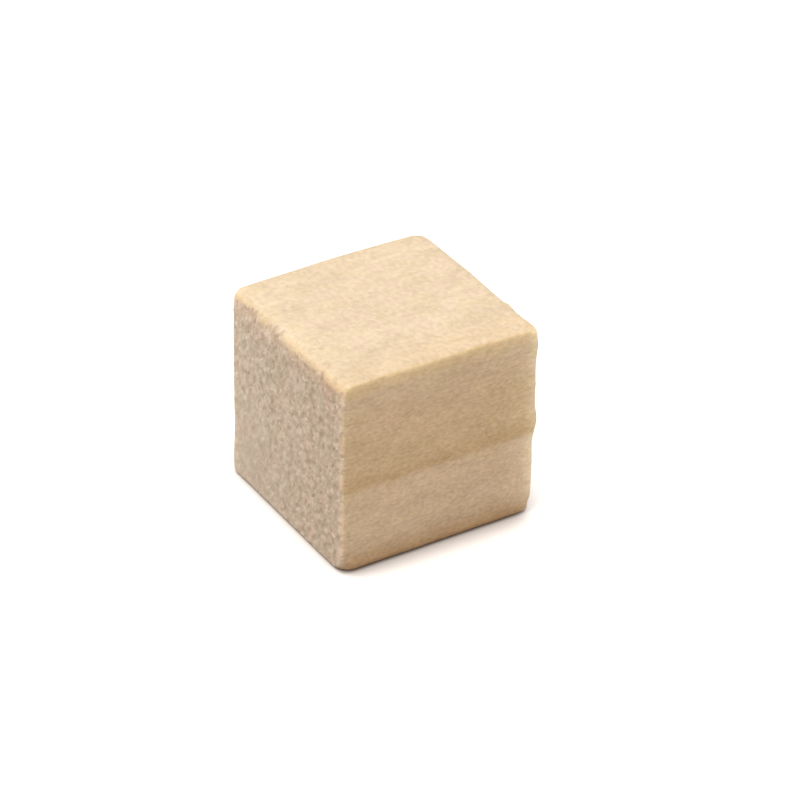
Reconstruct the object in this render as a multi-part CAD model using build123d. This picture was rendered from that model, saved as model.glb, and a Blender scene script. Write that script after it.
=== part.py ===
from build123d import *
from math import sqrt
import os

# A small craft cube, sawn from a squared strip of pale hardwood and tumbled
# until its edges are soft. The grain runs along X, so the two X faces are sawn
# end grain. It stands on its underside, centred on the origin, with +Z up.
# Sizes are in millimetres.

# The squared strip, and the length sawn from it, over the ridge on the right end
WIDTH = 9.9
HEIGHT = 9.8
LENGTH = 10.25

# Tumbling softens every edge
EDGE_ROUND = 0.45

# It also wears each corner down to a low dome, along the corner's diagonal and
# by so much more than the soft edges take there. A corner is named by the ends
# of X, Y and Z that meet in it
CORNER_DOME = 4.0
CORNER_WEAR = {
    (-1, -1, 1): 0.12,
    (-1, 1, 1): 0.15,
    (1, -1, 1): 0.09,
    (1, 1, 1): 0.23,
    (-1, -1, 0): 0.17,
    (-1, 1, 0): 0.04,
    (1, -1, 0): 0.13,
    (1, 1, 0): 0.15,
}

# One growth ring crosses the block, an arc about the pith of the tree, which
# lies above the block
RING_RADIUS = 9.25
PITH_Y = 0.6
PITH_Z = 12.0

# On the right end the hard late wood just inside the ring stands proud in a
# ridge. The soft early wood outside the ring is worn below the late wood's
# side, deepest in a hollow beside the ring. The reaches are measured from the
# ring line, along its radius
RIDGE_PROUD = 0.12
RIDGE_REACH = 1.3
RIDGE_CREST = 0.5
HOLLOW_DEPTH = 0.07
HOLLOW_CENTRE = 0.85
EARLY_WOOD_WORN = 0.04
EARLY_WOOD_REACH = 1.8


def sawn_ends():
    """A round of stock with the two sawn ends: flat on the left, ridged on the right.

    It is turned about the pith, so that the ridge and the hollow follow the ring.
    """
    left = -LENGTH / 2
    right = LENGTH / 2 - RIDGE_PROUD
    worn_right = right - EARLY_WOOD_WORN
    rim = RING_RADIUS + EARLY_WOOD_REACH + PITH_Z + WIDTH
    ridge_foot = (RING_RADIUS - RIDGE_REACH, right)
    ridge_crest = (RING_RADIUS - RIDGE_CREST, right + RIDGE_PROUD)
    hollow = (RING_RADIUS + HOLLOW_CENTRE, right - HOLLOW_DEPTH)
    worn_edge = (RING_RADIUS + EARLY_WOOD_REACH, worn_right)
    level = (1, 0)
    with BuildPart() as stock:
        with BuildSketch(Plane.XY):
            with BuildLine():
                Polyline((0, left), (0, right), ridge_foot)
                Spline(ridge_foot, ridge_crest, hollow, worn_edge, tangents=[level] * 4)
                Polyline(worn_edge, (rim, worn_right), (rim, left), (0, left))
            make_face()
        revolve(axis=Axis.Y)
    return stock.part.rotate(Axis.Z, -90).translate((0, PITH_Y, PITH_Z))


def corner_waste(ends, wear):
    """What tumbling takes off one corner: all of it that lies outside a large ball."""
    x_end, y_end, z_end = ends
    corner = Vector(x_end * LENGTH / 2, y_end * WIDTH / 2, z_end * HEIGHT)
    outward = Vector(x_end, y_end, 2 * z_end - 1).normalized()
    depth = EDGE_ROUND * (sqrt(3) - 1) + wear
    ball = Pos(*(corner - outward * (depth + CORNER_DOME))) * Sphere(CORNER_DOME)
    return Pos(*corner) * Box(CORNER_DOME, CORNER_DOME, CORNER_DOME) - ball


def wood_block():
    """The squared strip between its sawn ends, with worn corners and soft edges."""
    strip = Box(2 * LENGTH, WIDTH, HEIGHT, align=(Align.CENTER, Align.CENTER, Align.MIN))
    block = strip & sawn_ends()
    for ends, wear in CORNER_WEAR.items():
        block = block - corner_waste(ends, wear)
    return fillet(block.edges(), EDGE_ROUND)


def main():
    """Build the block and write it out."""
    os.makedirs("parts", exist_ok=True)
    block = wood_block()
    export_step(block, "parts/wood_block.step")
    print("wood_block", round(block.volume, 3), "mm3,", len(block.faces()), "faces")


main()
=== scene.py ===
import math

import bpy
import numpy as np
from mathutils import Matrix, Vector, noise


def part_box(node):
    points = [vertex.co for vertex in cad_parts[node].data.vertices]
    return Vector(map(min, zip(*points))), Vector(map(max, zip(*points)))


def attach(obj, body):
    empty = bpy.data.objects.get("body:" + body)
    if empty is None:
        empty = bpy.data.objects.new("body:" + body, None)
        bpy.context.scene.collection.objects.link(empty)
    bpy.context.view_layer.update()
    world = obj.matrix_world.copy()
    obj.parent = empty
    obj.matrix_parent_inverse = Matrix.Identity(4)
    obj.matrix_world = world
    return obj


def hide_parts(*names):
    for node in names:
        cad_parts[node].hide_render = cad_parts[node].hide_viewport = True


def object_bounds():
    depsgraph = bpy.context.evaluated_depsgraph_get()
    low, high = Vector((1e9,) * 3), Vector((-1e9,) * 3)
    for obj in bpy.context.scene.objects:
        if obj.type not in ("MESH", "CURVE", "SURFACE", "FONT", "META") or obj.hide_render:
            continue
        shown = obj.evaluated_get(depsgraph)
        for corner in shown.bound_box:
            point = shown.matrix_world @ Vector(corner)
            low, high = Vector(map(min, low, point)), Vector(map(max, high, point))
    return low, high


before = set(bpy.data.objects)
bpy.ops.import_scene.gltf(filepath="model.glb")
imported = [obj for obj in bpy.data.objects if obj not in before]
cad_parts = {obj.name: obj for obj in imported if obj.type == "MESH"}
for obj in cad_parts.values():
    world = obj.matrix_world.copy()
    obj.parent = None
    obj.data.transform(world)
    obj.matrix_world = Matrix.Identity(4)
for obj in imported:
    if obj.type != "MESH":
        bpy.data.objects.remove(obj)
cadLow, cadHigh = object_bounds()
print("frame loaded, block box in metres:", [round(c, 5) for c in cadHigh - cadLow])

# The block is modelled with one unit to the millimetre, the drawing's own unit,
# and is brought down to metres once its relief is finished
unitsPerMetre = 1000


def pointValues(block, name):
    # the places of the mesh's points, named "co", or their normals, named "normal"
    values = np.empty(len(block.data.vertices) * 3)
    block.data.vertices.foreach_get(name, values)
    return values.reshape(-1, 3)


def writePoints(block, points):
    block.data.vertices.foreach_set("co", points.ravel())
    block.data.update()


def ease(value, start, end):
    step = np.clip((value - start) / (end - start), 0, 1)
    return step * step * (3 - 2 * step)


def wander(places, seed):
    # a line of smooth noise from -1 to 1, sampled at the places given
    return np.array([noise.noise(Vector((place, seed, 0.5))) for place in places])


# the blank: a strip squared and sawn to length, then tumbled soft
blank = {
    "node": "wood_block",
    "softEdge": 0.45,           # round of a tumbled edge
    # some edges stayed crisper, named by the sides that meet in them
    "crispEdges": {(0, -1, 1): 0.18, (-1, -1, 0): 0.20, (-1, 0, -1): 0.16, (0, -1, -1): 0.38},
    "edgeSegments": 6,
    "voxel": 0.08,
    "cornerDome": 4.0,          # a worn corner is part of a ball of this radius
    "cornerBlend": 0.06,
    "cornerReach": (1.2, 2.0),  # the wear fades out between these distances from the corner
    # how far each corner is worn down along its diagonal, by the ends of X, Y and Z
    "cornerWear": {
        (-1, -1, 1): 0.08, (-1, 1, 1): 0.38, (1, -1, 1): 0.34, (1, 1, 1): 0.50,
        (-1, -1, -1): 0.42, (-1, 1, -1): 0.16, (1, -1, -1): 0.28, (1, 1, -1): 0.48,
    },
}

# one growth ring, an arc about the pith of the tree, which lies above the block
growth = {
    "pithY": 0.6, "pithZ": 12.0, "ringRadius": 9.25,
    # height of the right end over the distance outside the ring line:
    # level, late wood ridge, hollow, worn early wood
    "rightEnd": ((-1.3, 0.0), (-0.35, 0.12), (0.75, -0.07), (1.8, -0.04)),
    # on the long sides the late wood stands a hair proud of the early wood
    "longSides": ((-1.6, 0.0), (-0.30, 0.015), (0.30, -0.010), (1.5, 0.0)),
    # the line of colour lies outside that of the relief, and more so towards the left end
    "lineOutside": {"left": 0.25, "right": 0.18},
}

ridgeProud = max(height for place, height in growth["rightEnd"])
boxLow, boxHigh = [np.array(corner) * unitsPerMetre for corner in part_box(blank["node"])]
flatHigh = boxHigh - np.array((ridgeProud, 0, 0))      # the right end without its ridge
middle = (boxLow + flatHigh) / 2


def softenEdges(block):
    # each edge is rounded by its own share of the widest round
    half = (flatHigh - boxLow) / 2
    share = block.data.attributes.new("bevel_weight_edge", "FLOAT", "EDGE")
    for edge in block.data.edges:
        first, second = [np.array(block.data.vertices[index].co) for index in edge.vertices]
        sides = tuple(int(side) for side in np.round(((first + second) / 2 - middle) / half))
        width = blank["crispEdges"].get(sides, blank["softEdge"])
        share.data[edge.index].value = width / blank["softEdge"]
    soften = block.modifiers.new("softEdges", "BEVEL")
    soften.limit_method = "WEIGHT"
    soften.width = blank["softEdge"]
    soften.segments = blank["edgeSegments"]
    bpy.ops.object.modifier_apply(modifier=soften.name)


def sawBlank():
    bpy.ops.object.select_all(action="DESELECT")
    bpy.ops.mesh.primitive_cube_add(size=1, location=middle, scale=flatHigh - boxLow)
    block = bpy.context.object
    block.name = block.data.name = "hardwood_cube"
    bpy.ops.object.transform_apply(location=True, rotation=False, scale=True)
    softenEdges(block)
    remesh = block.modifiers.new("fineSkin", "REMESH")
    remesh.mode = "VOXEL"
    remesh.voxel_size = blank["voxel"]
    bpy.ops.object.modifier_apply(modifier=remesh.name)
    print("blank sawn,", len(block.data.polygons), "faces")
    return block


def wearCorners(points):
    dome = blank["cornerDome"]
    for ends, depth in blank["cornerWear"].items():
        atHigh = np.array(ends) > 0
        corner = np.where(atHigh, flatHigh, boxLow)
        outward = np.where(atHigh, 1, -1) / math.sqrt(3)
        away = points - (corner - outward * (depth + dome))
        reach = np.linalg.norm(away, axis=1)
        over = reach - dome
        cut = (over + np.sqrt(over ** 2 + blank["cornerBlend"] ** 2)) / 2
        near = 1 - ease(np.abs(points - corner).max(axis=1), *blank["cornerReach"])
        points -= away / reach[:, None] * (cut * near)[:, None]
    return points


def ringDistance(points):
    fromPith = np.hypot(points[:, 1] - growth["pithY"], points[:, 2] - growth["pithZ"])
    return fromPith - growth["ringRadius"]


def stepped(distance, stations):
    # from level to level, each reached on an even keel
    height = np.full_like(distance, stations[0][1])
    for (startAt, startHeight), (endAt, endHeight) in zip(stations, stations[1:]):
        height += (endHeight - startHeight) * ease(distance, startAt, endAt)
    return height


def raiseLateWood(points, normals):
    fromRing = ringDistance(points)
    onRight = np.clip((points[:, 0] - flatHigh[0]) / blank["softEdge"] + 1, 0, 1)
    points[:, 0] += stepped(fromRing, growth["rightEnd"]) * onRight
    onSides = 1 - np.abs(normals[:, 0])
    points += normals * (stepped(fromRing, growth["longSides"]) * onSides)[:, None]
    return points


# bulges, burrs and nicks of this one block: middle, reach, and push along X, Y and Z
blemishes = {
    "backTopBulge": ((-0.3, 4.9, 9.75), 2.9, (0, 0.045, 0.045)),
    "farTopBulge": ((5.1, 1.0, 9.75), 1.2, (0.03, 0, 0.03)),
    "topTick": ((5.05, -2.6, 9.75), 0.35, (0.04, 0, 0.09)),
    "rightTopBurr": ((5.1, -4.7, 8.9), 0.9, (0.09, -0.02, 0)),
    "rightArrisBulge": ((5.0, -4.9, 6.6), 1.1, (0.03, -0.02, 0)),
    "ridgeEnd": ((5.1, -4.8, 4.75), 0.6, (0.05, -0.01, 0)),
    "footNick": ((4.95, -4.75, 0.42), 0.32, (-0.14, 0.05, 0)),
    "backFootSwell": ((-5.1, 4.9, 0.9), 0.9, (-0.055, 0.03, 0)),
    "frontTopLip": ((-2.9, -4.9, 9.75), 2.2, (0, 0, 0.10)),
    "frontTopLipRight": ((1.6, -4.9, 9.75), 2.0, (0, 0, 0.07)),
    "splinter": ((-4.75, -2.85, 9.75), 0.16, (0.04, 0, -0.09)),
}


def addBlemishes(points):
    for place, reach, push in blemishes.values():
        away = np.linalg.norm(points - np.array(place), axis=1)
        points += np.exp(-(away / reach) ** 2)[:, None] * np.array(push)
    return points


# Where the sawn end meets the sides the fibres tore, so the edge of the end grain
# wanders. Heights are above the start of the soft edge, over the place along Y
torn = {
    "leftTop": ((-4.6, -0.05), (-3.7, -0.02), (-3.32, 0.0), (-3.04, 0.42), (-2.7, 0.2), (-1.98, 0.08),
                (-1.33, 0.17), (-0.8, -0.05), (-0.34, -0.22), (0.05, -0.02), (0.21, 0.05), (0.5, 0.60),
                (1.37, 0.50), (1.75, 0.1), (2.13, -0.08), (2.6, 0.36), (2.89, 0.42), (3.5, 0.18),
                (4.3, 0.10)),
    "sideStart": 0.36,          # on the other edges it ends about half way round
    "sideWander": 0.10, "fineShare": 0.4, "topWander": 0.08,
    # two waves run along each edge, shifted by side and by end so that no two edges match
    "coarse": {"pace": 1.1, "bySide": 7.3, "byEnd": 3.1, "seed": 4.0},
    "fine": {"pace": 4.5, "bySide": 2.7, "byEnd": 5.9, "seed": 9.0},
    "sharpness": 5.0,
    "sunk": 0.035, "sunkReach": 0.9,
}


def tornWave(wave, place, side, end):
    return wander(place * wave["pace"] + side * wave["bySide"] + end * wave["byEnd"], wave["seed"])


def markEndGrain(block, points):
    # 1 on the end grain and 0 on the long grain, with 0.5 at the torn line
    halfLength = np.where(points[:, 0] > 0, flatHigh[0], -boxLow[0])
    edge = blank["softEdge"]
    inward = halfLength - edge - np.abs(points[:, 0])          # over 0 on the flat of a long side
    toSides = np.stack([
        np.abs(points[:, 1]) - (boxHigh[1] - edge),            # over 0 in a soft edge beside the end
        points[:, 2] - (boxHigh[2] - edge),
        edge - points[:, 2],
    ])
    nearest = toSides.argmax(axis=0)
    rise = toSides.max(axis=0)
    turn = np.arctan2(np.maximum(rise, 0), np.maximum(-inward, 1e-6))
    along = np.where(rise < 0, rise, np.where(inward > 0, edge * math.pi / 2 + inward, edge * turn))
    place = np.where(nearest == 0, points[:, 2], points[:, 1])
    end = np.sign(points[:, 0])
    coarse, fine = [tornWave(torn[name], place, nearest, end) for name in ("coarse", "fine")]
    line = torn["sideStart"] + torn["sideWander"] * coarse + torn["fineShare"] * torn["sideWander"] * fine
    leftTop = (nearest == 1) & (points[:, 0] < 0)
    across, heights = zip(*torn["leftTop"])
    line[leftTop] = (np.interp(points[:, 1], across, heights) + torn["topWander"] * fine)[leftTop]
    mark = np.clip(0.5 + (line - along) * torn["sharpness"] / 2, 0, 1)
    layer = block.data.attributes.new("endGrain", "FLOAT", "POINT")
    layer.data.foreach_set("value", mark)
    return mark


def sinkTornFibres(points, endMark):
    # just below the torn line the end grain lies a little under the light wood
    belowTop = boxHigh[2] - points[:, 2]
    near = 1 - ease(belowTop, blank["softEdge"], torn["sunkReach"])
    inward = -np.sign(points[:, 0])
    points[:, 0] += inward * endMark * near * torn["sunk"]
    return points


facing = {
    "top": (0, 0, 1), "under": (0, 0, -1), "front": (0, -1, 0), "back": (0, 1, 0),
    "left": (-1, 0, 0), "right": (1, 0, 0),
}
# a point is partly on a side once it faces it by the first share, and wholly by the second
facingShares = (0.25, 0.85)
# The arrises take other shades than the flats. Some strips are rubbed pale, some are painted
# light where a rounded edge catches the light or glows against the bright ground, and those at
# the foot are painted shade. Each strip runs on one side along the next: share of light added
# in red, green and blue, or taken, and how far it reaches
wearAndPaintedShading = (
    # painted light on the front under its rounded top edge, which catches the light
    ("front", "top", (0.18, 0.17, 0.01), 1.0),
    ("left", "top", (0.14, 0.135, 0.07), 1.1),
    ("left", "top", (0.0, -0.055, -0.08), 2.0),
    # painted light along the left edge of the top, and painted shade on the round of that edge
    ("top", "left", (0.08, 0.09, 0.08), 1.6),
    ("top", "left", (-0.15, -0.13, -0.13), 0.4),
    ("top", "front", (0.02, 0.05, 0.06), 1.3),
    ("left", "front", (0.20, 0.19, 0.17), 0.65),
    # painted light: the left end's back edge glows against the bright ground
    ("left", "back", (0.08, 0.08, 0.07), 2.2),
    ("left", "back", (0.16, 0.16, 0.15), 0.9),
    # painted light: the front's right edge glows against the bright ground
    ("front", "right", (0.13, 0.17, 0.18), 2.2),
    ("front", "right", (0.27, 0.37, 0.48), 0.9),
    ("back", "top", (0.12, 0.12, 0.06), 1.0),
    ("right", "top", (0.20, 0.20, 0.12), 1.0),
    ("right", "front", (0.16, 0.17, 0.16), 0.9),
    ("right", "back", (0.16, 0.16, 0.14), 0.9),
    ("back", "left", (0.12, 0.12, 0.10), 1.2),
    ("back", "right", (0.12, 0.12, 0.10), 1.2),
    # painted shade: the foot of the front and back is darker and browner near the table
    ("front", "under", (-0.13, -0.14, -0.15), 2.4),
    ("front", "under", (-0.16, -0.27, -0.40), 1.5),
    ("back", "under", (-0.10, -0.11, -0.12), 2.4),
    ("back", "under", (-0.10, -0.18, -0.26), 1.1),
)
# a duller corner of the top, a paler patch low on the front by the right arris that is painted
# light where that edge glows, and dark ticks in the torn fibres: middle, reach, and share of
# light taken, or given where it is negative
marks = (
    ((-4.20, -3.90, 9.80), 1.30, 0.07),
    ((4.60, -4.95, 2.30), 1.20, -0.09),
    ((-4.68, -2.70, 9.74), 0.08, 0.28),
    ((-4.61, -2.88, 9.78), 0.08, 0.26),
    ((-4.70, -3.04, 9.74), 0.08, 0.22),
    ((-4.98, -3.12, 9.60), 0.14, 0.16),
)


def markWearAndPaintedShading(block, points, normals):
    # lays the rubbed wear, the painted light and the painted shade of the strips and marks into one
    # attribute
    toSide = {
        "top": boxHigh[2] - points[:, 2], "under": points[:, 2],
        "front": points[:, 1] - boxLow[1], "back": boxHigh[1] - points[:, 1],
        "left": points[:, 0] - boxLow[0], "right": flatHigh[0] - points[:, 0],
    }
    shade = np.ones((len(points), 4))
    for side, beside, lift, reach in wearAndPaintedShading:
        onSide = ease(normals @ np.array(facing[side]), *facingShares)
        near = (1 - ease(toSide[beside], 0, reach)) * onSide
        shade[:, :3] += near[:, None] * np.array(lift)
    for place, reach, taken in marks:
        away = np.linalg.norm(points - np.array(place), axis=1)
        shade[:, :3] *= 1 - taken * np.exp(-(away / reach) ** 2)[:, None]
    layer = block.data.attributes.new("wearAndPaintedShading", "FLOAT_COLOR", "POINT")
    layer.data.foreach_set("color", shade.ravel())


# relief of the bare surface: size of the grain along X, Y and Z, and its depth
relief = {
    "slowWaves": {"grain": (3.2, 2.6, 2.6), "depth": 0.05, "octaves": 1},
    "sawnFibres": {"grain": (0.6, 0.2, 0.16), "depth": 0.008, "octaves": 2},
    "endFuzz": {"grain": (0.22, 0.18, 0.26), "depth": 0.05, "octaves": 2},
}


def roughen(block, name, group=""):
    pattern = relief[name]
    texture = bpy.data.textures.new(name, "CLOUDS")
    texture.noise_scale = 1
    texture.noise_depth = pattern["octaves"]
    helper = bpy.data.objects.new(name, None)
    bpy.context.scene.collection.objects.link(helper)
    helper.scale = pattern["grain"]
    bpy.context.view_layer.update()
    displace = block.modifiers.new(name, "DISPLACE")
    displace.texture = texture
    displace.texture_coords = "OBJECT"
    displace.texture_coords_object = helper
    displace.strength = pattern["depth"]
    displace.mid_level = 0.5
    displace.vertex_group = group
    bpy.ops.object.modifier_apply(modifier=displace.name)
    bpy.data.objects.remove(helper)
    bpy.data.textures.remove(texture)


def addGroup(block, name, weights):
    group = block.vertex_groups.new(name=name)
    for index, weight in enumerate(weights):
        group.add([index], weight, "REPLACE")


def makeBlock():
    block = sawBlank()
    points = wearCorners(pointValues(block, "co"))
    writePoints(block, points)
    normals = pointValues(block, "normal")
    endMark = markEndGrain(block, points)
    markWearAndPaintedShading(block, points, normals)
    points = raiseLateWood(points, normals)
    points = addBlemishes(points)
    points = sinkTornFibres(points, endMark)
    writePoints(block, points)
    print("corners worn and late wood raised")
    addGroup(block, "ends", endMark)
    addGroup(block, "sides", 1 - endMark)
    roughen(block, "slowWaves")
    roughen(block, "sawnFibres", "sides")
    roughen(block, "endFuzz", "ends")
    block.vertex_groups.clear()
    points = pointValues(block, "co")
    points[:, 2] = np.maximum(points[:, 2], 0)          # it stands flat on its underside
    writePoints(block, points / unitsPerMetre)
    bpy.ops.object.shade_smooth()
    print("surface roughened,", len(block.data.vertices), "points")
    return block


# most of the noise lies between these levels
noiseLevels = (0.25, 0.75)


class Shading:
    # builds the node tree of a material or of the world in short lines

    def __init__(self, owner):
        owner.use_nodes = True
        self.tree = owner.node_tree
        self.tree.nodes.clear()

    def node(self, kind, inputs=None, **settings):
        made = self.tree.nodes.new(kind)
        for name, value in settings.items():
            setattr(made, name, value)
        for name, value in (inputs or {}).items():
            if isinstance(value, bpy.types.NodeSocket):
                self.tree.links.new(value, made.inputs[name])
            else:
                made.inputs[name].default_value = value
        return made

    def math(self, operation, first, second=0.0):
        return self.node("ShaderNodeMath", {0: first, 1: second}, operation=operation).outputs[0]

    def add(self, first, *others):
        for other in others:
            first = self.math("ADD", first, other)
        return first

    def times(self, first, *others):
        for other in others:
            first = self.math("MULTIPLY", first, other)
        return first

    def vector(self, operation, first, second):
        made = self.node("ShaderNodeVectorMath", {0: first, 1: second}, operation=operation)
        return made.outputs["Vector"]

    def turned(self, place, degrees, axis):
        inputs = {0: place, "Angle": math.radians(degrees)}
        return self.node("ShaderNodeVectorRotate", inputs, rotation_type=axis).outputs[0]

    def between(self, value, start, end, low=0.0, high=1.0, smooth=True):
        # from low at the start to high at the end, and level beyond them
        inputs = {"Value": value, "From Min": start, "From Max": end, "To Min": low, "To Max": high}
        kind = "SMOOTHSTEP" if smooth else "LINEAR"
        return self.node("ShaderNodeMapRange", inputs, interpolation_type=kind).outputs["Result"]

    def noise(self, place, pattern):
        # noise whose figure has the pattern's size along X, Y and Z
        sized = self.vector("DIVIDE", place, pattern["grain"])
        inputs = {"Vector": sized, "Scale": 1.0, "Detail": pattern["detail"]}
        return self.node("ShaderNodeTexNoise", inputs).outputs["Fac"]

    def swing(self, place, pattern):
        # the same noise as a share of light added or taken
        most = pattern["swing"]
        return self.between(self.noise(place, pattern), *noiseLevels, -most, most, False)

    def specks(self, place, pattern):
        # only the peaks of the noise
        start, end = pattern["peaks"]
        return self.between(self.noise(place, pattern), start, end, 0.0, pattern["swing"])

    def mix(self, factor, first, second, blend="MIX"):
        # a mix of colours has its factor at 0, the colours at 6 and 7, and its result at 2
        inputs = {0: factor, 6: first, 7: second}
        return self.node("ShaderNodeMix", inputs, data_type="RGBA", blend_type=blend).outputs[2]

    def shade(self, colour, amount):
        # a colour made lighter or darker by a factor; wood browns as it darkens
        channels = [self.math("POWER", amount, power) for power in woodColours["browning"]]
        tone = self.node("ShaderNodeCombineColor", dict(enumerate(channels))).outputs[0]
        return self.mix(1.0, colour, tone, "MULTIPLY")


# colours of the bare wood, as light reflected in red, green and blue
woodColours = {
    "innerWood": (0.820, 0.650, 0.448, 1),       # near the pith: cream
    "outerWood": (0.815, 0.590, 0.360, 1),       # warmer towards the ring
    "lateWood": (0.700, 0.475, 0.235, 1),        # yellower and darker up to the ring line
    "earlyWood": (0.830, 0.610, 0.390, 1),       # pale and a little pink beyond it
    "yellowTint": (1.0, 0.995, 0.955, 1),
    "rosyTint": (1.005, 0.982, 0.992, 1),
    "endWood": (0.692, 0.540, 0.394, 1),         # cut fibres, greyer and pinker
    "endPale": (0.752, 0.612, 0.468, 1),
    "endRosy": (1.02, 0.980, 0.985, 1),
    "endGrey": (0.985, 1.0, 0.99, 1),
    "browning": (1.0, 1.12, 1.30),               # how much faster green and blue fall than red
}

# figure of the long grain: size along X, Y and Z, the share of light that it swings, and
# the levels of the noise between which its peaks set in
longGrain = {
    "mottle": {"grain": (0.22, 0.28, 0.13), "detail": 2.0, "swing": 0.13},
    "streaks": {"grain": (0.9, 0.30, 0.13), "detail": 2.0, "swing": 0.05},
    "clouds": {"grain": (2.0, 1.2, 1.0), "detail": 2.0, "swing": 0.06},
    "pores": {"grain": (0.40, 0.13, 0.10), "detail": 1.0, "peaks": (0.60, 0.74), "swing": 0.12},
    "poreZones": {"grain": (3.0, 1.6, 1.6), "detail": 1.0, "peaks": (0.45, 0.60), "swing": 1.0},
    "arrisPits": {"grain": (0.5, 0.5, 0.17), "detail": 0.0, "peaks": (0.60, 0.75), "swing": 0.12},
    "hue": {"grain": (1.1, 0.7, 0.6), "detail": 2.0, "yellow": (0.50, 0.66), "rosy": (0.50, 0.34)},
    "raggedRing": {"grain": (1.3, 0.35, 0.35), "detail": 3.0, "swing": 0.09},
    "ringStrength": {"grain": (1.8, 1.2, 1.2), "detail": 1.0, "swing": 0.12},
    "topCalm": 0.76,            # painted light: the figure is weaker on the top, washed out by the strong light there
    "lean": -1.5,               # degrees that the fibres dip towards the right: they rise a little
}
# Where its shades begin and end, in millimetres: from the pith, outside the ring line, and
# along X and Z. Behind the late wood's distances stand its shares of the darker colour
longReach = {
    "outerWood": (3.4, 7.5),
    "lateFar": (-3.2, -0.6, 0.0, 0.28), "lateNear": (-0.9, -0.25, 0.0, 0.29),
    "lateLine": (-0.40, 0.0, 0.0, 0.24), "insideLine": (0.28, -0.20),
    "top": (9.3, 9.7),
    "pitsLeft": (-5.02, -4.94), "pitsRight": (-4.62, -4.82), "pitsTop": (9.2, 8.8),
}

# figure of the end grain: crumbs of cut fibre, drawn out slantwise by the saw
endGrain = {
    "sawSlant": 50.0,           # degrees
    "crumbs": {"grain": (1.0, 0.52, 0.30), "detail": 2.0, "swing": 0.23},
    "grit": {"grain": (0.7, 0.27, 0.19), "detail": 1.0, "swing": 0.11},
    "brightFibres": {"grain": (0.5, 0.30, 0.19), "detail": 1.0, "peaks": (0.60, 0.74), "swing": 0.26},
    "pits": {"grain": (0.5, 0.26, 0.17), "detail": 1.0, "peaks": (0.61, 0.75), "swing": 0.24},
    "patches": {"grain": (3.0, 1.5, 1.5), "detail": 2.0, "swing": 0.5},
    "rosy": {"grain": (2.0, 0.7, 0.7), "detail": 2.0, "peaks": (0.46, 0.62), "swing": 1.0},
    "grey": {"grain": (2.0, 0.9, 0.9), "detail": 1.0, "peaks": (0.50, 0.64), "swing": 1.0},
    "fray": {"grain": (0.4, 0.11, 0.11), "detail": 2.0, "swing": 0.2},
    "frayEdge": (0.35, 0.65),   # its colour sets in between these values of the mark
    "pitsShift": (7.0, 3.0, 5.0),       # the pits come from another part of the noise
    # the far lower part is smoother, with this share of the grit, and the far side is paler
    "smoothY": (-1.5, 3.0), "smoothZ": (6.0, 3.0), "smoothGrit": 0.55,
    "paleY": (-4.5, 4.0),
}


def ringPlace(s, place):
    # distances from the pith and outside the ring line, which slopes a little along the grain
    x, y, z = s.node("ShaderNodeSeparateXYZ", {0: place}).outputs
    acrossY = s.math("SUBTRACT", y, growth["pithY"])
    acrossZ = s.math("SUBTRACT", z, growth["pithZ"])
    radius = s.math("SQRT", s.add(s.times(acrossY, acrossY), s.times(acrossZ, acrossZ)))
    outside = growth["lineOutside"]
    shift = s.between(x, float(boxLow[0]), float(flatHigh[0]), outside["left"], outside["right"], False)
    fromRing = s.math("SUBTRACT", s.math("SUBTRACT", radius, growth["ringRadius"]), shift)
    return radius, s.add(fromRing, s.swing(place, longGrain["raggedRing"]))


def longGrainColour(s, place, radius, fromRing):
    # the late wood darkens up to the ring line, and here and there the line is faint
    insideLine = s.between(fromRing, *longReach["insideLine"])
    atLine = s.add(s.between(fromRing, *longReach["lateNear"]),
                   s.between(fromRing, *longReach["lateLine"]))
    strength = s.add(1.0, s.swing(place, longGrain["ringStrength"]))
    late = s.add(s.between(fromRing, *longReach["lateFar"]), s.times(atLine, strength))
    outer = s.between(radius, *longReach["outerWood"])
    wood = s.mix(outer, woodColours["innerWood"], woodColours["outerWood"])
    wood = s.mix(s.times(late, insideLine), wood, woodColours["lateWood"])
    wood = s.mix(s.between(insideLine, 1.0, 0.0), wood, woodColours["earlyWood"])

    axes = s.node("ShaderNodeSeparateXYZ", {0: place}).outputs
    leaning = s.turned(place, longGrain["lean"], "Y_AXIS")
    calm = s.between(axes["Z"], *longReach["top"], 1.0, longGrain["topCalm"])
    figure = s.add(s.swing(leaning, longGrain["mottle"]), s.swing(leaning, longGrain["streaks"]))
    pores = s.times(s.specks(leaning, longGrain["pores"]), s.specks(place, longGrain["poreZones"]))
    figure = s.math("SUBTRACT", figure, pores)
    # small pits where the fibres broke out beside the sawn left end
    besideEnd = s.times(s.between(axes["X"], *longReach["pitsLeft"]),
                        s.between(axes["X"], *longReach["pitsRight"]),
                        s.between(axes["Z"], *longReach["pitsTop"]))
    pits = s.times(s.specks(place, longGrain["arrisPits"]), besideEnd)
    tone = s.add(1.0, s.times(figure, calm), s.swing(place, longGrain["clouds"]))
    wood = s.shade(wood, s.math("SUBTRACT", tone, pits))
    hue = s.noise(place, longGrain["hue"])
    wood = s.mix(s.between(hue, *longGrain["hue"]["yellow"]), wood, woodColours["yellowTint"], "MULTIPLY")
    return s.mix(s.between(hue, *longGrain["hue"]["rosy"]), wood, woodColours["rosyTint"], "MULTIPLY")


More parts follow.
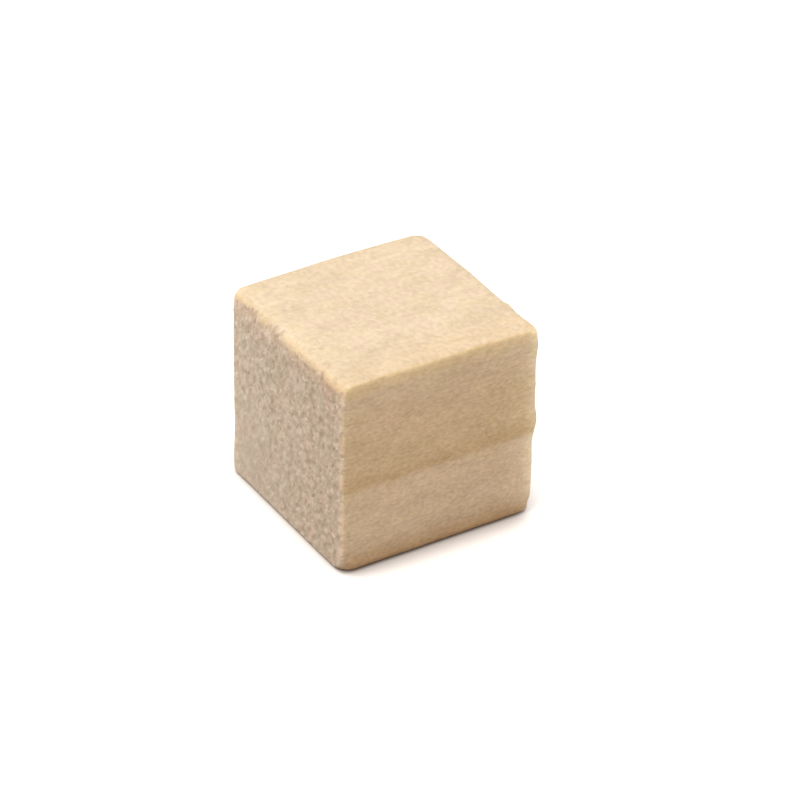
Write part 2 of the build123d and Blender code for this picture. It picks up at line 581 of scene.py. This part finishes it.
def endGrainColour(s, place):
    axes = s.node("ShaderNodeSeparateXYZ", {0: place}).outputs
    slant = s.turned(place, endGrain["sawSlant"], "X_AXIS")
    smooth = s.times(s.between(axes["Y"], *endGrain["smoothY"]),
                     s.between(axes["Z"], *endGrain["smoothZ"]))
    rough = s.between(smooth, 0.0, 1.0, 1.0, endGrain["smoothGrit"], False)
    grit = s.add(s.swing(slant, endGrain["crumbs"]), s.swing(slant, endGrain["grit"]),
                 s.specks(slant, endGrain["brightFibres"]))
    pits = s.specks(s.vector("ADD", slant, endGrain["pitsShift"]), endGrain["pits"])
    grit = s.math("SUBTRACT", grit, pits)
    pale = s.add(s.between(axes["Y"], *endGrain["paleY"]), s.swing(place, endGrain["patches"]))
    wood = s.mix(pale, woodColours["endWood"], woodColours["endPale"])
    wood = s.mix(s.specks(place, endGrain["rosy"]), wood, woodColours["endRosy"], "MULTIPLY")
    wood = s.mix(s.specks(place, endGrain["grey"]), wood, woodColours["endGrey"], "MULTIPLY")
    return s.shade(wood, s.add(1.0, s.times(grit, rough)))


# a fine nap over the relief that the mesh already has
nap = {
    "sides": {"grain": (0.30, 0.06, 0.06), "detail": 2.0},
    "ends": {"grain": (0.08, 0.07, 0.09), "detail": 2.0},
    "strength": 0.2, "height": 0.00002,
    "roughness": (0.3, 0.7, 0.58, 0.72),        # from one level of the noise to the other
    "gloss": 0.3,
}


def bareHardwood():
    material = bpy.data.materials.new("bareHardwood")
    s = Shading(material)
    local = s.node("ShaderNodeTexCoord").outputs["Object"]
    place = s.vector("MULTIPLY", local, (unitsPerMetre,) * 3)
    radius, fromRing = ringPlace(s, place)
    longWood = longGrainColour(s, place, radius, fromRing)
    endWood = endGrainColour(s, place)

    endMark = s.node("ShaderNodeAttribute", attribute_name="endGrain").outputs["Fac"]
    onEnd = s.between(s.add(endMark, s.swing(place, endGrain["fray"])), *endGrain["frayEdge"])
    # the rubbed wear, the painted light and the painted shade of the arrises and marks tint the wood
    wearAndPaintedShadingColour = s.node("ShaderNodeAttribute", attribute_name="wearAndPaintedShading").outputs["Color"]
    colour = s.mix(1.0, s.mix(onEnd, longWood, endWood), wearAndPaintedShadingColour, "MULTIPLY")

    fibres = s.noise(place, nap["sides"])
    height = s.mix(onEnd, fibres, s.noise(place, nap["ends"]))
    bump = s.node("ShaderNodeBump", {
        "Strength": nap["strength"], "Distance": nap["height"], "Height": height,
    })
    surface = s.node("ShaderNodeBsdfPrincipled", {
        "Base Color": colour, "Roughness": s.between(fibres, *nap["roughness"]),
        "Specular IOR Level": nap["gloss"], "Normal": bump.outputs[0],
    })
    s.node("ShaderNodeOutputMaterial", {0: surface.outputs[0]})
    return material


block = makeBlock()
block.data.materials.append(bareHardwood())
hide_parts(blank["node"])
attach(block, "root")
print("block finished in bare hardwood")

# a plain pale table; the camera sees it overexposed, so only the shadow at the block's foot shows,
# deepened there with painted shade
table = {
    "size": 0.6, "colour": (0.45, 0.43, 0.42, 1), "seen": (1.55, 1.53, 1.51, 1),
    "foot": (0.15, 0.12, 0.10, 1),      # painted shade: how much of that is left in the crease at the block's foot
    "sideFoot": (0.42, 0.41, 0.41, 1),  # less of that painted shade at the ends, where the light reaches in
    "atLeft": (0.0003, -0.0003), "atRight": (-0.0013, -0.0003),     # where that sets in, from each end
    "crease": 0.0017, "openness": (0.12, 0.90), "samples": 16,
}


def layTable():
    bpy.ops.object.select_all(action="DESELECT")
    bpy.ops.mesh.primitive_plane_add(size=table["size"], location=(0, 0, 0))
    top = bpy.context.object
    top.name = "table_top"
    material = bpy.data.materials.new("paleTable")
    s = Shading(material)
    place = s.node("ShaderNodeTexCoord").outputs["Object"]
    across = s.node("ShaderNodeSeparateXYZ", {0: place}).outputs["X"]
    atLeft = s.between(across, *[cadLow.x + step for step in table["atLeft"]])
    atRight = s.between(across, *[cadHigh.x + step for step in table["atRight"]])
    foot = s.mix(s.add(atLeft, atRight), table["foot"], table["sideFoot"])
    # an occlusion node paints shade into the crease round the block's foot
    crease = s.node("ShaderNodeAmbientOcclusion", {"Distance": table["crease"]}, samples=table["samples"])
    openness = s.between(crease.outputs["AO"], *table["openness"], smooth=False)
    shown = s.mix(1.0, table["seen"], s.mix(openness, foot, (1, 1, 1, 1)), "MULTIPLY")
    seen = s.node("ShaderNodeLightPath").outputs["Is Camera Ray"]
    surface = s.node("ShaderNodeBsdfDiffuse", {"Color": s.mix(seen, table["colour"], shown)})
    s.node("ShaderNodeOutputMaterial", {0: surface.outputs[0]})
    top.data.materials.append(material)


# soft light all round, stronger from above, and a broad lamp high up on the left
light = {
    "skyLow": 0.61, "skyHigh": 0.98, "skyColour": (1.0, 0.99, 0.985, 1),
    "lampPlace": (-0.15, 0.04, 0.30), "lampSize": 0.26, "lampPower": 0.35,
    "lampColour": (1.0, 0.985, 0.96),
}


def lightScene():
    world = bpy.data.worlds.new("softRoom")
    bpy.context.scene.world = world
    s = Shading(world)
    direction = s.node("ShaderNodeTexCoord").outputs["Generated"]
    upward = s.node("ShaderNodeSeparateXYZ", {0: direction}).outputs["Z"]
    level = s.between(upward, 0.0, 1.0, light["skyLow"], light["skyHigh"], False)
    soft = s.node("ShaderNodeBackground", {"Color": light["skyColour"], "Strength": level})
    white = s.node("ShaderNodeBackground", {"Color": (1, 1, 1, 1)})
    seen = s.node("ShaderNodeLightPath").outputs["Is Camera Ray"]
    mixer = s.node("ShaderNodeMixShader", {0: seen, 1: soft.outputs[0], 2: white.outputs[0]})
    s.node("ShaderNodeOutputWorld", {0: mixer.outputs[0]})
    bpy.ops.object.light_add(type="AREA", location=light["lampPlace"])
    lamp = bpy.context.object
    lamp.name = "softLamp"
    lamp.data.shape = "DISK"
    lamp.data.size = light["lampSize"]
    lamp.data.energy = light["lampPower"]
    lamp.data.color = light["lampColour"]
    lamp.rotation_euler = Vector(light["lampPlace"]).to_track_quat("Z", "Y").to_euler()


# the photograph's view, round a point at half the block's height; angles in degrees
view = {
    "azimuth": -31.78, "elevation": 33.08, "roll": 0.745,
    "distance": 0.17174, "lens": 171.97, "sensor": 36, "shiftX": 0.0200, "shiftY": -0.0012,
    "nearest": 0.01, "farthest": 10,
}


def placeCamera():
    turn, lift, roll = [math.radians(view[name]) for name in ("azimuth", "elevation", "roll")]
    target = Vector((0, 0, (cadLow.z + cadHigh.z) / 2))
    back = Vector((math.sin(turn) * math.cos(lift), -math.cos(turn) * math.cos(lift), math.sin(lift)))
    right = (-back).cross(Vector((0, 0, 1))).normalized()
    up = right.cross(-back)
    rolledRight = right * math.cos(roll) + up * math.sin(roll)
    rolledUp = up * math.cos(roll) - right * math.sin(roll)
    bpy.ops.object.camera_add()
    camera = bpy.context.object
    camera.name = "photoCamera"
    camera.data.lens = view["lens"]
    camera.data.sensor_width = view["sensor"]
    camera.data.shift_x = view["shiftX"]
    camera.data.shift_y = view["shiftY"]
    camera.data.clip_start = view["nearest"]
    camera.data.clip_end = view["farthest"]
    axes = Matrix((rolledRight, rolledUp, back)).transposed().to_4x4()
    camera.matrix_world = Matrix.Translation(target + back * view["distance"]) @ axes
    bpy.context.scene.camera = camera


layTable()
lightScene()
placeCamera()
bpy.context.scene.view_settings.view_transform = "Standard"
print("table, light and camera set")
